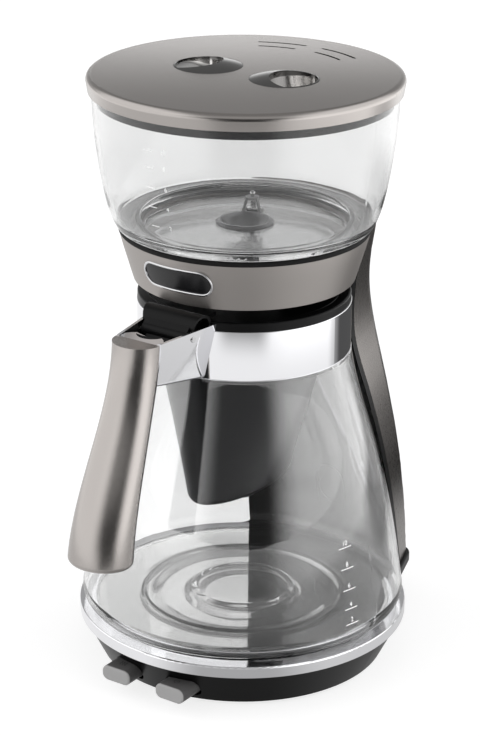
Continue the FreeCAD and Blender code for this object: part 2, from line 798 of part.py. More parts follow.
def bowl_point(bottom, edge_r, edge_z):
    """Point halfway out on a round bowl that has its bottom on the axis."""
    rise = edge_z - bottom
    size = (edge_r * edge_r + rise * rise) / (2 * rise)
    return (edge_r / 2, bottom + size - math.sqrt(size * size - edge_r * edge_r / 4))


def sump_cup():
    """Smoky cup clipped into the middle of the tank's floor; it keeps grit out of the outlet."""
    r = sump_radius
    high = sump_rim
    low = sump_bottom
    t = 1.4
    seat = r - 0.8
    outside = (bowl_point(low, seat, high - 2.6), (seat, high - 2.6))
    inside = (bowl_point(low + t, r - t, high), (0, low + t))
    return turned((0, low), outside, (sump_flange, high - 2.6), (sump_flange, high - 1.4), (r, high),
                  (r - t, high), inside)


def valve_stem():
    """Stem with a disc that holds the seal, its foot just above the post in the seat."""
    low = post_top + rest_gap
    stem = disc(stem_radius, stem_top - low - 1.6, valve_x, valve_y, low)
    holder = disc(seal_radius - 0.4, 1.0, valve_x, valve_y, seal_top)
    knob = Part.makeSphere(stem_radius + 0.5, V(valve_x, valve_y, stem_top - stem_radius - 0.5))
    return together(stem, holder, knob)


def valve_seal():
    low = floor_at_valve + rest_gap
    return tube(seal_radius, stem_radius, seal_top - low, valve_x, valve_y, low)


def valve_guide():
    """Little tripod on the tank's floor that keeps the stem upright."""
    crown = tube(guide_head_radius, stem_radius + pin_gap, guide_leg, valve_x, valve_y, guide_top)
    foot_ring = tube(guide_foot_radius, guide_foot_radius - 1.4, 1.0, valve_x, valve_y, floor_at_valve)
    foot_ring = foot_ring.cut(disc(sump_flange + 0.1, 20, 0, 0, floor_at_valve - 5))
    legs = []
    low = floor_at_valve
    high = guide_top + guide_leg
    side = Part.makePolygon([V(guide_foot_radius, 0, low), V(guide_head_radius, 0, high),
                             V(guide_head_radius - guide_leg, 0, high),
                             V(guide_head_radius - guide_leg, 0, guide_top),
                             V(guide_foot_radius - 1.2, 0, low), V(guide_foot_radius, 0, low)])
    for k in range(3):
        leg = Part.Face(side).extrude(BACK * 1.6).translated(V(0, -0.8, 0))
        leg.rotate(V(), UP, 120 * k + 113)
        legs.append(leg.translated(V(valve_x, valve_y, 0)))
    return together(crown, foot_ring, *legs)


def valve_spring():
    """Pushes the stem down on its seat."""
    return coil_spring(2.3, 0.5, seal_top + 1.05, guide_top - 0.05, 3, valve_x, valve_y)


def coil_spring(radius, wire, low, high, turns, x, y):
    """Open coil of square wire."""
    pitch = (high - low - wire) / turns
    helix = Part.makeHelix(pitch, high - low - wire, radius)
    start = helix.Edges[0].valueAt(helix.Edges[0].FirstParameter)
    half = wire / 2
    square = ((-half, -half), (half, -half), (half, half), (-half, half))
    corners = [start + V(dx, 0, dz) for dx, dz in square]
    section = Part.makePolygon(corners + corners[:1])
    coil = Part.Wire(helix.Edges).makePipeShell([section], True, True)
    return upright(coil).translated(V(x, y, low + half))


# ---- lid --------------------------------------------------------------------------------------
def curved_slot(radius, first, last, z, height):
    """Cutter for a slot round the lid, its ends round, between two angles from the back."""
    half = slot_width / 2
    start, end = math.radians(90 - last), math.radians(90 - first)
    middle = (start + end) / 2

    def on(r, a):
        return V(r * math.cos(a), r * math.sin(a), z)
    tip = half / radius
    edges = [Part.Arc(on(radius + half, start), on(radius + half, middle), on(radius + half, end)).toShape(),
             Part.Arc(on(radius + half, end), on(radius, end + tip), on(radius - half, end)).toShape(),
             Part.Arc(on(radius - half, end), on(radius - half, middle), on(radius - half, start)).toShape(),
             Part.Arc(on(radius - half, start), on(radius, start - tip), on(radius + half, start)).toShape()]
    return Part.Face(Part.Wire(edges)).extrude(UP * height)


def vent_slots(z, height):
    slots = []
    for radius, first, last in slot_circles:
        one = curved_slot(radius, first, last, z, height)
        slots += [one, mirrored(one)]
    return slots


def lid_cover():
    """Pressed steel top with a rolled rim."""
    t = lid_sheet
    r = lid_radius
    edge = r - lid_round
    cover = turned((0, lid_top), (edge, lid_top), ((edge + 0.72 * lid_round, lid_top - 0.3 * lid_round),
                                                   (r, lid_top - lid_round - 0.6)),
                   (r - 1.0, lid_skirt_bottom), (r - 1.0 - t, lid_skirt_bottom),
                   (r - t, lid_top - lid_round - 0.6),
                   ((edge + 0.72 * lid_round - t * 0.7, lid_top - 0.3 * lid_round - t * 0.7),
                    (edge, lid_top - t)),
                   (0, lid_top - t))
    for side in (-1, 1):
        cover = cover.cut(disc(grip_radius + 0.2, 20, side * grip_offset, 0, lid_top - 10))
    for slot in vent_slots(lid_top - 10, 20):
        cover = cover.cut(slot)
    return cover


def lid_liner():
    """Plastic underside: rests on the tank's rim and centres in its mouth."""
    high = lid_top - lid_sheet
    low = high - liner_thickness
    rim_r, rim_z = tank_side[-1]
    seat = rim_z + tank_wall / 3 + rest_gap
    mouth = rim_r - tank_wall - slide_gap
    outer = lid_radius - lid_round
    liner = turned((0, low), (mouth - 2, low), (mouth - 2, rim_z - 9), (mouth - 0.5, rim_z - 9),
                   (mouth, rim_z - 6), (mouth, seat), (outer, seat), (outer, high), (0, high))
    for side in (-1, 1):
        liner = liner.cut(disc(grip_radius + 0.2, 20, side * grip_offset, 0, low - 5))
    for slot in vent_slots(low - 5, 20):
        liner = liner.cut(slot)
    return liner


def lid_grip():
    """Finger pocket under a raised crescent hood, open towards +X, centred on the origin."""
    r = grip_radius
    low = lid_top - grip_depth
    swell = (r * r + hood_rise * hood_rise) / (2 * hood_rise)
    middle = (r / 2, lid_top - swell + hood_rise + math.sqrt(swell * swell - r * r / 4))
    cup = turned((0, low), (r - 4, low), ((r - 1.2, low + 1.2), (r, low + 4)), (r, lid_top),
                 (middle, (0, lid_top + hood_rise)))
    inner = r - 1.8
    opening = disc(pocket_radius, 40, pocket_shift, 0, lid_top - 20)
    opening = opening.common(disc(r - 1.0, 40, 0, 0, lid_top - 20))
    under = disc(inner, lid_top - 1.0 - low + 5, 0, 0, low - 5)
    ramp = Part.makePolygon([V(-r, -r, low + 1.8), V(-r * 0.45, -r, low + 1.8), V(r + 1, -r, lid_top - 0.4),
                             V(r + 1, -r, lid_top + 20), V(-r, -r, lid_top + 20), V(-r, -r, low + 1.8)])
    above_ramp = Part.Face(ramp).extrude(BACK * 2 * r)
    pocket = opening.fuse(under).common(above_ramp)
    return cup.cut(pocket).removeSplitter()


# ---- jug --------------------------------------------------------------------------------------
def jug_glass():
    """Blown jug: rolled foot, flared body, straight neck for the band, stepped floor."""
    low = jug_bottom
    t = jug_wall
    foot = jug_foot_radius
    first_r, first_z = jug_side[0]
    neck = jug_neck_radius
    inner = inset(jug_side, t)
    outer_ring, inner_ring = jug_floor_rings
    s = jug_floor_step
    floor = low + t + 0.4
    return turned((0, low + 2 * s), (inner_ring - 2, low + 2 * s), (inner_ring + 1, low + s),
                  (outer_ring - 1, low + s), (outer_ring + 2, low), (foot, low),
                  ((foot + 0.72 * (first_r - foot), low + 0.26 * (first_z - low)), (first_r, first_z)),
                  jug_side[1:],
                  ((neck + 0.3, jug_side[-1][1] + 3.2), (neck, jug_side[-1][1] + 6)), (neck, jug_mouth),
                  (neck - t, jug_mouth), (neck - t, jug_side[-1][1] + 5.4),
                  ((neck - t + 0.4, jug_side[-1][1] + 3), (inner[-1][0], inner[-1][1])), inner[-2::-1],
                  ((foot + 0.5 * (first_r - foot) - 1.0, floor + 0.24 * (first_z - low)), (foot - 3, floor)),
                  (outer_ring + 1.2, floor), ((outer_ring, floor + 0.3), (outer_ring - 1, floor + s)),
                  (inner_ring + 3, floor + s),
                  ((inner_ring, floor + 1.9 * s), (inner_ring - 3, floor + 2 * s)),
                  (0, floor + 2 * s))


def jug_rim():
    """Black ring over the glass mouth with a pouring lip at the back."""
    outer = band_radius - 0.4
    ledge = holder_ledge
    top = rim_top
    ring = turned((jug_neck_radius + 0.1, band_bottom + 31), (outer, band_bottom + 31), (outer, top - 1.2),
                  ((outer - 0.4, top - 0.4), (outer - 1.2, top)), (rim_bore + 0.8, top),
                  ((rim_bore + 0.2, top - 0.2), (rim_bore, top - 0.8)), (rim_bore, ledge),
                  (jug_neck_radius - jug_wall - 0.1, ledge),
                  (jug_neck_radius - jug_wall - 0.1, jug_mouth + 0.1),
                  (jug_neck_radius + 0.1, jug_mouth + 0.1))
    tip = outer + spout_reach
    lip = Part.Face(outline((outer - 1.0, jug_mouth + 0.6), (outer - 0.2, jug_mouth + 0.6), (tip, top + 0.8),
                            (tip - 1.2, top + 1.2), (outer - 1.0, top - 2.4)))
    lip.rotate(V(), UP, 90 - spout_half_angle)
    spout = upright(lip.revolve(V(), UP, 2 * spout_half_angle))
    channel = sector(spout_half_angle - 3, 0, 200, top - 2.2, 20).common(disc(tip - 2, 20, 0, 0, top - 2.2))
    return ring.fuse(spout).cut(channel.cut(disc(rim_bore - 1, 60, 0, 0, 200))).removeSplitter()


def neck_band():
    t = 1.2
    r = band_radius
    high = band_bottom + 31
    low = band_bottom
    return turned((r - t, low + 4.5), (r - 0.35, low + 0.3), ((r - 0.15, low + 0.2), (r, low + 0.9)),
                  (r, high - 0.7), ((r - 0.1, high - 0.2), (r - 0.5, high)), (r - t, high))


def cheek_half(y, z):
    """Half width over the bracket's flat cheeks at a place along them."""
    return bracket_half + bracket_spread * (y + handle_stations[0][1]) + bracket_lean * (z - bracket_top)


def across(y, top, bottom, inset_by):
    """Outline across the bracket, its sides and foot drawn in."""
    low, high = cheek_half(y, bottom + inset_by) - inset_by, cheek_half(y, top) - inset_by
    corners = [V(-low, y, bottom + inset_by), V(low, y, bottom + inset_by), V(high, y, top), V(-high, y, top)]
    return Part.makePolygon(corners + corners[:1])


def bracket_block(inset_by=0.0, above=0.0):
    """Tapered block between the handle and the neck band, its long lower edges rounded."""
    front = across(-handle_stations[0][1] + 0.5, bracket_top + above, bracket_front_bottom, inset_by)
    rear = across(-band_radius + 8, bracket_top + 0.8 + above, band_bottom, inset_by)
    block = upright(Part.makeLoft([front, rear], True, True))
    low = [e for e in block.Edges if e.BoundBox.YLength > 20 and e.BoundBox.ZMax < bracket_front_bottom + 5]
    return block.makeFillet(max(bracket_round - inset_by, 0.5), low)


def handle_loft(wall=0.0):
    """Oval grip through its stations, drawn in by wall."""
    rings = []
    for z, front, half_x, half_y in handle_stations:
        ellipse = Part.Ellipse(V(0, -front, z), half_x - wall, half_y - wall)
        rings.append(Part.Wire(ellipse.toShape()))
    return upright(Part.makeLoft(rings, True, False))


def behind_seam(seam, reach=60.0):
    """Everything behind the grip's seam."""
    walls = []
    for z, front, half_x, half_y in handle_stations:
        y = -front + seam
        corners = [V(-reach, y, z), V(reach, y, z), V(reach, y + reach, z), V(-reach, y + reach, z)]
        walls.append(Part.makePolygon(corners + corners[:1]))
    return upright(Part.makeLoft(walls, True, False))


def handle_shell():
    """Satin steel front of the grip, closed top and bottom."""
    outer = handle_loft()
    low = handle_stations[-1][0]
    high = handle_stations[0][0]
    outer = outer.makeFillet(handle_foot_round, [e for e in outer.Edges if e.BoundBox.ZMax < low + 1])
    room = plate(100, 300, high - low - 2 * handle_wall, 0, -100, low + handle_wall)
    hollow = handle_loft(handle_wall).common(room)
    bridge = plate(100, 60, 100, 0, -handle_stations[0][1] + 30 + 0.4, bracket_front_bottom - 0.3)
    return outer.cut(hollow).cut(behind_seam(handle_seam)).cut(bridge)


def handle_back():
    """Black plastic inner half of the grip."""
    outer = handle_loft(0.35)
    low = handle_stations[-1][0]
    outer = outer.makeFillet(handle_foot_round, [e for e in outer.Edges if e.BoundBox.ZMax < low + 1])
    half = outer.common(behind_seam(handle_seam + 0.1))
    tongue = handle_loft(handle_wall + 0.2).common(behind_seam(handle_seam - 3.0))
    tongue = tongue.cut(behind_seam(handle_seam + 0.1)).common(plate(100, 300, 80, 0, -100, low + 12))
    bridge = plate(100, 60, 100, 0, -handle_stations[0][1] + 30 + 0.2, bracket_front_bottom - 0.3)
    return together(half.cut(bridge), tongue.cut(bridge)).cut(bracket_block(-0.1))


def handle_bracket():
    """Chrome channel from the band to the grip, closed in front by the back of the grip's top."""
    cheeks = bracket_block().cut(bracket_block(bracket_wall, 2))
    z, front, half_x, half_y = handle_stations[0]
    cap = handle_loft().common(plate(60, half_y, z - bracket_front_bottom, 0, -front + half_y / 2 + 0.5,
                                     bracket_front_bottom))
    dish = Part.makeSphere(dish_radius, V(0, -front + half_y + 1.0, z + dish_radius - dish_depth))
    cap = cap.cut(dish)
    block = cheeks.fuse(cap)
    block = block.cut(disc(band_radius + 0.05, 100, 0, 0, 180))
    pin = Part.makeCylinder(hinge_pin_radius, 60, V(-30, hinge_y, hinge_z), RIGHT)
    return block.cut(pin).removeSplitter()


def bracket_liner():
    """Black tray between the cheeks."""
    gap = 0.1
    tray = bracket_block(bracket_wall + gap, -9).cut(bracket_block(bracket_wall + gap + 1.6, 3))
    tray = tray.cut(handle_loft(-gap).common(plate(60, 60, 60, 0, -handle_stations[0][1] + 20, 190)))
    tray = tray.cut(disc(band_radius + gap, 100, 0, 0, 180))
    return tray.cut(Part.makeCylinder(6.5, 60, V(-30, hinge_y, hinge_z), RIGHT))


def hinge_pin():
    half = cheek_half(hinge_y, hinge_z) + 0.6
    return Part.makeCylinder(hinge_pin_radius, 2 * half, V(-half, hinge_y, hinge_z), RIGHT)


def jug_lid():
    """Lid with a rounded hinge hood, a thumb pad in front of it and a middle open to the shower."""
    gap = slide_gap
    ledge = holder_ledge + filter_flange
    top = rim_top - 0.6
    low = ledge + rest_gap
    round_lid = turned((26, low - 2.6), (29, low), (rim_bore - gap, low), (rim_bore - gap, top - 0.5),
                   (rim_bore - gap - 0.5, top), (34, top), (31, top - 1.6), (26, low - 1.2))
    for k in range(-2, 3):
        pour = plate(3.2, 16, 20, 0, rim_bore - gap - 13, ledge - 5)
        pour.rotate(V(), UP, 8 * k)
        round_lid = round_lid.cut(pour)
    half = hinge_half
    hood = Part.makeCylinder(hood_radius, 60, V(-30, hood_y, hood_z), RIGHT)
    hood = hood.common(bracket_block(bracket_wall + rest_gap, 12))
    for side in (-1, 1):
        end = side * (cheek_half(hood_y, hood_z) - bracket_wall - hood_pocket)
        hood = hood.cut(Part.makeCylinder(hood_radius - hood_wall, 30, V(end, hood_y, hood_z), RIGHT * side))
    knuckle = Part.makeCylinder(4.6, 2 * half, V(-half, hinge_y, hinge_z), RIGHT)
    arm = Part.makePolygon([V(-half, hood_y - 2, hood_z + 7.1), V(-half, hinge_y - 4.2, hinge_z + 2),
                            V(-half, hinge_y, hinge_z - 4.5), V(-half, hood_y + 1, hood_z - 7.0),
                            V(-half, hood_y - 2, hood_z + 7.1)])
    web = Part.Face(arm).extrude(RIGHT * 2 * half)
    pad = [V(-pad_half, hinge_y - 2, hinge_z + 1.0), V(-pad_half, hinge_y - 9, hinge_z - 5.0),
           V(-pad_half, hinge_y - 9.4, hinge_z - 7.0), V(-pad_half, hinge_y - 2, hinge_z - 3.0)]
    thumb = Part.Face(Part.makePolygon(pad + pad[:1])).extrude(RIGHT * 2 * pad_half)
    clear = disc(band_radius + gap, rim_top + 0.4 - 200, 0, 0, 200)
    block = together(hood, knuckle, web).cut(clear)
    bridge = plate(2 * half, 16, 2.4, 0, hood_y + 8 + 3, rim_top + 0.4).common(disc(80, 100, 0, 0, 200))
    riser = plate(2 * half - 6, 5, rim_top + 2.8 - low, 0, -rim_bore + gap + 3.2, low)
    riser = riser.common(disc(rim_bore - gap, 100, 0, 0, 200))
    lid = together(round_lid, block, thumb, bridge, riser)
    return lid.cut(Part.makeCylinder(hinge_pin_radius + pin_gap, 60, V(-30, hinge_y, hinge_z), RIGHT))


# ---- filter holder ------------------------------------------------------------------------------
def filter_wedge(wall=0.0, rise=0.0):
    """Round mouth tapering evenly to a long oval floor."""
    mouth_r = filter_mouth_radius - wall
    mouth = Part.Ellipse(V(0, 0, filter_mouth + rise), mouth_r, mouth_r - 0.01)
    half_x, half_y = filter_floor_half_width - wall, filter_floor_half_length - wall
    floor = Part.Ellipse(V(0, filter_offset, filter_floor + wall), half_y, half_x)
    ring = Part.Wire(floor.toShape())
    ring.rotate(V(0, filter_offset, 0), UP, 90)
    top = Part.Wire(mouth.toShape())
    top.rotate(V(), UP, 90)
    return upright(Part.makeLoft([ring, top], True, True))


def filter_holder():
    """Wedge basket with a flange on the jug's rim, a rounded keel and the drip stop's guide."""
    outer = filter_wedge()
    keel = [e for e in outer.Edges if e.BoundBox.ZMax < filter_floor + 1]
    outer = outer.makeFillet(filter_keel_round, keel)
    ledge = holder_ledge
    neck = turned((filter_mouth_radius - 8, filter_mouth - 1), (filter_mouth_radius, filter_mouth - 1),
                  (filter_mouth_radius, ledge), (rim_bore - slide_gap + 0.4, ledge),
                  (rim_bore - slide_gap + 0.4, ledge + filter_flange),
                  (filter_mouth_radius - filter_wall, ledge + filter_flange),
                  (filter_mouth_radius - 8, filter_mouth + 1))
    low = filter_floor - outlet_boss_drop
    boss = disc(outlet_boss_radius, outlet_boss_drop + 4, 0, 0, low)
    body = outer.fuse(boss).fuse(neck)
    filter_room = filter_wedge(filter_wall, 1.0)
    inner_keel = [e for e in filter_room.Edges if e.BoundBox.ZMax < filter_floor + filter_wall + 1]
    filter_room = filter_room.makeFillet(filter_keel_round - filter_wall, inner_keel)
    body = body.cut(filter_room)
    body = body.cut(disc(filter_mouth_radius - filter_wall, 40, 0, 0, filter_mouth))
    body = body.cut(disc(outlet_radius + pin_gap, outlet_boss_drop + 1.0, 0, 0, low - 1))
    body = body.cut(disc(2.0, 40, 0, 0, low))
    slot_height = drip_arm_height + drip_travel + 0.6
    return body.cut(plate(drip_arm_width + 1.0, 14, slot_height, 0, 7, low + drip_arm_low - 0.3))


def drip_spring():
    """Keeps the plunger down until the arm is lifted."""
    return coil_spring(3.2, 0.5, filter_floor - 3.0, drip_spring_top, 2, 0, 0)


def drip_stop():
    """Plunger that closes the outlet, on an arm that runs back under the keel."""
    low = filter_floor - outlet_boss_drop
    plunger = disc(outlet_radius, outlet_boss_drop - drip_travel - 0.6 + 2.0, 0, 0, low - 2.0)
    arm = plate(drip_arm_width, drip_arm_length, drip_arm_height, 0, drip_arm_length / 2, low + drip_arm_low)
    tip = [e for e in arm.Edges if e.BoundBox.YMin > drip_arm_length - 0.01 and e.BoundBox.ZLength > 1]
    arm = arm.makeFillet(drip_arm_width / 2 - 0.2, tip)
    return together(plunger, arm)


# ---- hand over --------------------------------------------------------------------------------
def compound_screws():
    return Part.makeCompound([screw(x, y, foot_height - screw_head, screw_length) for x, y in screw_places()])


def build():
    nodes = {
        "base_housing": base_housing(), "base_cover": base_cover(), "base_screws": compound_screws(),
        "feet": feet(), "base_trim_ring": base_trim_ring(), "hotplate": hotplate(), "heater": heater_block(),
        "thermostat": thermostat(), "thermal_fuse": thermal_fuse(), "cord_gland": cord_gland(),
        "switch_board": switch_board(),
        "column_shell": column_shell(), "column_front_panel": column_front_panel(),
        "feed_tube": feed_tube(), "riser_tube": riser_tube(), "check_valve": check_valve(),
        "collar_shell": collar_shell(), "collar_pan": collar_pan(), "collar_deck": collar_deck(),
        "shower_head": shower_head(), "valve_seat": valve_seat(), "tank_gasket": tank_gasket(),
        "water_tank": water_tank(), "sump_cup": sump_cup(), "valve_guide": valve_guide(),
        "valve_stem": valve_stem(), "valve_seal": valve_seal(),
        "valve_spring": valve_spring(), "drip_spring": drip_spring(),
        "lid_cover": lid_cover(), "lid_liner": lid_liner(),
        "jug_glass": jug_glass(), "jug_rim": jug_rim(), "neck_band": neck_band(),
        "handle_bracket": handle_bracket(), "bracket_liner": bracket_liner(), "hinge_pin": hinge_pin(),
        "handle_shell": handle_shell(), "handle_back": handle_back(),
        "jug_lid": jug_lid(), "filter_holder": filter_holder(), "drip_stop": drip_stop(),
    }
    grip = lid_grip()
    nodes["lid_grip_right"] = grip.translated(V(grip_offset, 0, 0))
    nodes["lid_grip_left"] = grip.rotated(V(), UP, 180).translated(V(-grip_offset, 0, 0))
    for side, x in zip(("left", "right"), button_centres):
        nodes["button_" + side] = button(x)
        nodes["button_spring_" + side] = button_spring(x)
        nodes["micro_switch_" + side] = micro_switch(x)
    return nodes


nodes = build()
front = min(shape.optimalBoundingBox(False).YMin for shape in nodes.values())
rear = max(shape.optimalBoundingBox(False).YMax for shape in nodes.values())
frame_shift = -(front + rear) / 2

os.makedirs("parts", exist_ok=True)
for name, shape in nodes.items():
    shape.translated(V(0, frame_shift, 0)).exportStep("parts/" + name + ".step")
print("nodes", len(nodes), "shift", round(frame_shift, 3))
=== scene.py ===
# Filter coffee maker: camera, studio, finishes and the small fittings that sit on the solids.
import json
import math
import bpy
import bmesh
from mathutils import Matrix, Vector


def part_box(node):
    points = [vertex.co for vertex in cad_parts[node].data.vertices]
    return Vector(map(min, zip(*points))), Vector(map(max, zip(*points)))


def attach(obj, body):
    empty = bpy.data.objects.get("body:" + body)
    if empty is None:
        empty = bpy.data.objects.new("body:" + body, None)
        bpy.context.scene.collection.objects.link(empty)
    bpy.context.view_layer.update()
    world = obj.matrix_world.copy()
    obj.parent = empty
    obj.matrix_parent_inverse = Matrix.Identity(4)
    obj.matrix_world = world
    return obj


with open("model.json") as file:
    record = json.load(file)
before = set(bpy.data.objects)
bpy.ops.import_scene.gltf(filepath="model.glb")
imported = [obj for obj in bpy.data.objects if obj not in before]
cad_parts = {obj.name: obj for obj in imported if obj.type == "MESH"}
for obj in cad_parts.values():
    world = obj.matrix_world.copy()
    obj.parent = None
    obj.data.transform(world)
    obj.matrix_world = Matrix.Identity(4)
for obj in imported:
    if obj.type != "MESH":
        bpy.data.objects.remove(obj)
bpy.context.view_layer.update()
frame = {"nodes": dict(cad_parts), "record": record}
nodes = frame["nodes"]
jugLow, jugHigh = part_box("jug_glass")
axisY = (jugLow.y + jugHigh.y) / 2          # the jug, collar, tank and lid share this upright axis
print("frame loaded:", len(nodes), "nodes, axis at y", round(axisY, 4))


# Camera
view = {
    "place": (0.8170, -1.1887, 0.7455),     # metres from the jug's axis
    "aim": (0.0, 0.0, 0.1847),
    "lens": 123.97,
    "roll": 0.386,                          # degrees
    "shift": (-0.0054, -0.0007),
}


def setCamera():
    lens = bpy.data.cameras.new("studioCamera")
    camera = bpy.data.objects.new("studioCamera", lens)
    bpy.context.scene.collection.objects.link(camera)
    place = Vector(view["place"]) + Vector((0, axisY, 0))
    aim = Vector(view["aim"]) + Vector((0, axisY, 0))
    turn = (aim - place).to_track_quat("-Z", "Y").to_matrix().to_4x4()
    turn = turn @ Matrix.Rotation(math.radians(view["roll"]), 4, "Z")
    camera.matrix_world = turn
    camera.location = place
    lens.lens = view["lens"]
    lens.sensor_width = 36
    lens.shift_x, lens.shift_y = view["shift"]
    lens.clip_start = 0.05
    bpy.context.scene.camera = camera


# Shader maths
class Socket:
    def __init__(self, finish, out):
        self.finish = finish
        self.out = out

    def maths(self, operation, other):
        return self.finish.node("ShaderNodeMath", {"operation": operation}, {0: self, 1: other})

    def __add__(self, other):
        return self.maths("ADD", other)

    def __radd__(self, other):
        return self.maths("ADD", other)

    def __sub__(self, other):
        return self.maths("SUBTRACT", other)

    def __rsub__(self, other):
        return self.finish.node("ShaderNodeMath", {"operation": "SUBTRACT"}, {0: other, 1: self})

    def __mul__(self, other):
        return self.maths("MULTIPLY", other)

    def __rmul__(self, other):
        return self.maths("MULTIPLY", other)

    def __truediv__(self, other):
        return self.maths("DIVIDE", other)

    def __pow__(self, other):
        return self.maths("POWER", other)

    def __abs__(self):
        return self.maths("ABSOLUTE", 0.0)

    def between(self, low, high):           # 0 below low, 1 above high, smooth in between
        return self.finish.node("ShaderNodeMapRange", {"interpolation_type": "SMOOTHSTEP"},
                                {"Value": self, "From Min": low, "From Max": high,
                                 "To Min": 0.0, "To Max": 1.0})


class Finish:
    def __init__(self, name, owner=None):
        self.data = owner or bpy.data.materials.new(name)
        self.data.use_nodes = True
        self.tree = self.data.node_tree
        self.tree.nodes.clear()

    def node(self, kind, settings, inputs, output=0):
        made = self.tree.nodes.new(kind)
        for key, value in settings.items():
            setattr(made, key, value)
        for key, value in inputs.items():
            if isinstance(value, Socket):
                self.tree.links.new(value.out, made.inputs[key])
            else:
                made.inputs[key].default_value = value
        return Socket(self, made.outputs[output]) if len(made.outputs) else made

    def places(self, scale=(1, 1, 1), shift=(0, 0, 0)):
        here = self.node("ShaderNodeTexCoord", {}, {}, "Object")
        return self.node("ShaderNodeMapping", {}, {"Vector": here, "Scale": scale, "Location": shift})

    def noise(self, vector, scale, detail=3.0, roughness=0.5):
        return self.node("ShaderNodeTexNoise", {}, {"Vector": vector, "Scale": scale, "Detail": detail,
                                                    "Roughness": roughness}, "Fac")

    def axis(self, which):                  # the place along x, y or z for 0, 1 or 2
        return self.node("ShaderNodeSeparateXYZ", {}, {0: self.places()}, which)

    def along(self, vector, way):
        return self.node("ShaderNodeVectorMath", {"operation": "DOT_PRODUCT"}, {0: vector, 1: way}, 1)

    def spread(self, vector):               # level distance from the origin of the vector
        flat = self.node("ShaderNodeVectorMath", {"operation": "MULTIPLY"}, {0: vector, 1: (1, 1, 0)})
        return self.node("ShaderNodeVectorMath", {"operation": "LENGTH"}, {0: flat}, 1)

    def ray(self, kind):
        return self.node("ShaderNodeLightPath", {}, {}, kind)

    def blend(self, factor, first, second):
        return self.node("ShaderNodeMix", {"data_type": "RGBA"}, {0: factor, 6: first, 7: second}, 2)

    def bump(self, height, strength, distance):
        return self.node("ShaderNodeBump", {}, {"Height": height, "Strength": strength, "Distance": distance})

    def surface(self, settings):
        shader = self.node("ShaderNodeBsdfPrincipled", {}, settings)
        self.node("ShaderNodeOutputMaterial", {}, {"Surface": shader})
        return self.data


# Finishes
def grey(level):
    return (level, level, level, 1)


def shade(colour, share):                   # a darker or lighter version of a colour, opaque
    return tuple(min(1, c * share) for c in colour) + (1,)


def satinMetal(name, colour, roughness, brushed=(1, 1, 1), depth=0.05):
    f = Finish(name)
    cloud = f.noise(f.places(), 14, 2)
    grain = f.noise(f.places(brushed), 2600, 2, 0.6)
    tone = f.blend(cloud, shade(colour, 0.95), shade(colour, 1.04))
    rough = roughness + (grain - 0.5) * 0.10 + (cloud - 0.5) * 0.03
    return f.surface({"Base Color": tone, "Metallic": 1.0, "Roughness": rough,
                      "Normal": f.bump(grain, depth, 0.0002)})


# Satin sheet that swells a little towards the shared axis
def crownedMetal(name, colour, roughness, crown):
    f = Finish(name)
    here = f.places(shift=(0, -axisY, 0))
    grain = f.noise(here, 2600, 2, 0.6)
    cloud = f.noise(here, 14, 2)
    swell = 0.0 - (f.spread(here) / crown["radius"]) ** 2.0 * (crown["rise"] / crown["unit"])
    tone = f.blend(cloud, shade(colour, 0.96), shade(colour, 1.03))
    return f.surface({"Base Color": tone, "Metallic": 1.0, "Roughness": roughness + (grain - 0.5) * 0.06,
                      "Normal": f.bump(swell + grain * crown["grain"], 1.0, crown["unit"])})


# Painted light and shade: dark above the height of the lid's top as painted shade on the hood, brighter down
# in the finger pocket as painted light on its ramp
def gripMetal(name, top):
    f = Finish(name)
    bright, dark = (0.78, 0.77, 0.76, 1), (0.15, 0.147, 0.144, 1)
    # the bright tone is painted light on the pocket's ramp, the dark tone is painted shade on the hood
    tone = f.blend(f.axis(2).between(top - 0.0030, top - 0.0002), bright, dark)
    smear = f.noise(f.places(), 22, 3)
    return f.surface({"Base Color": tone, "Metallic": 1.0, "Roughness": 0.13 + smear * 0.03})


def polishedMetal(name, colour, roughness):
    f = Finish(name)
    smear = f.noise(f.places(), 22, 3)
    tone = f.blend(smear, shade(colour, 0.97), shade(colour, 1))
    return f.surface({"Base Color": tone, "Metallic": 1.0, "Roughness": roughness + smear * 0.02})


# Mirror steel with shallow pressed rings, each a radius, a half width and a depth
def pressedSteel(name, colour, roughness, rings):
    f = Finish(name)
    here = f.places(shift=(0, -axisY, 0))
    out = f.spread(here)
    height = f.noise(here, 9, 1) * 0.02
    for radius, half, depth in rings:
        height = height - (1.0 - abs(out - radius).between(0.0, half)) * depth
    smear = f.noise(here, 30, 3)
    tone = f.blend(smear, shade(colour, 0.95), shade(colour, 1))
    return f.surface({"Base Color": tone, "Metallic": 1.0, "Roughness": roughness + smear * 0.03,
                      "Normal": f.bump(height, 1.0, 0.001)})


# The coat says how strongly the outside mirrors, rising from one height to another
def clearGlass(name, colour, coat=None):
    f = Finish(name)
    waves = f.noise(f.places(), 9, 1)
    settings = {"Base Color": colour, "Transmission Weight": 1.0, "IOR": 1.48,
                "Roughness": (waves - 0.4) * 0.01, "Normal": f.bump(waves, 0.02, 0.002)}
    if coat:
        rise = f.axis(2).between(coat["from"], coat["to"])
        settings["Coat Weight"] = coat["least"] + rise * (coat["most"] - coat["least"])
        settings["Coat IOR"] = 1.8
        settings["Coat Roughness"] = 0.02
    return f.surface(settings)


def smokyGlass(name, colour):
    f = Finish(name)
    waves = f.noise(f.places(), 60, 2)
    return f.surface({"Base Color": colour, "Transmission Weight": 0.6, "IOR": 1.5,
                      "Roughness": 0.06 + waves * 0.03})


def mouldedPlastic(name, colour, roughness, grainScale=1400, grainDepth=0.05, gloss=0.5):
    f = Finish(name)
    grain = f.noise(f.places(), grainScale, 3, 0.6)
    cloud = f.noise(f.places(), 18, 2)
    tone = f.blend(cloud, shade(colour, 0.92), shade(colour, 1.06))
    rough = roughness + (cloud - 0.5) * 0.08 + (grain - 0.5) * 0.05
    return f.surface({"Base Color": tone, "Roughness": rough, "Normal": f.bump(grain, grainDepth, 0.0003),
                      "Specular IOR Level": gloss})
